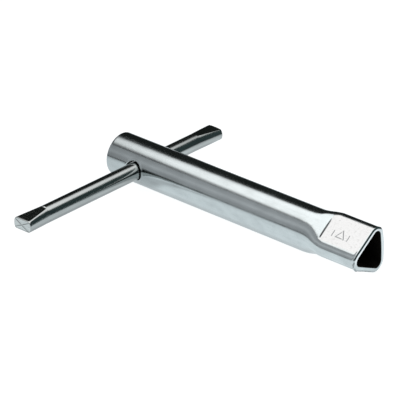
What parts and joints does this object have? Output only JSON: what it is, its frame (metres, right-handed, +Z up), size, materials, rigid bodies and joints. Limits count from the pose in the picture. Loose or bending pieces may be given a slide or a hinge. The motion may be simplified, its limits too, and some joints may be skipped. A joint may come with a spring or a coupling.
{
  "type": "triangular socket t-key",
  "caption": "Tubular T-key: round steel tube forged into a triangular socket at one end, with a captive sliding tommy bar through cross-holes near the other.",
  "frame": {"origin": "centre of the triangular socket's mouth, on the tube's axis", "axes": "+X out of the mouth along the tube, +Y along the tommy bar towards its shorter side at rest, +Z up"},
  "size_m": [0.1064, 0.0943, 0.0161],
  "materials": {
    "tube_steel": "bright zinc-plated drawn steel tube, lightly streaked along its length",
    "bar_steel": "bright zinc-plated drawn steel bar, ends squashed flat"
  },
  "bodies": {
    "socket_tube": {"socket_tube": "tube_steel"},
    "tommy_bar": {"tommy_bar": "bar_steel"}
  },
  "joints": [
    {"name": "bar_slide", "type": "slide", "parent": "socket_tube", "child": "tommy_bar", "axis": [0, 1, 0], "range_m": [-0.021, 0.046]}
  ]
}
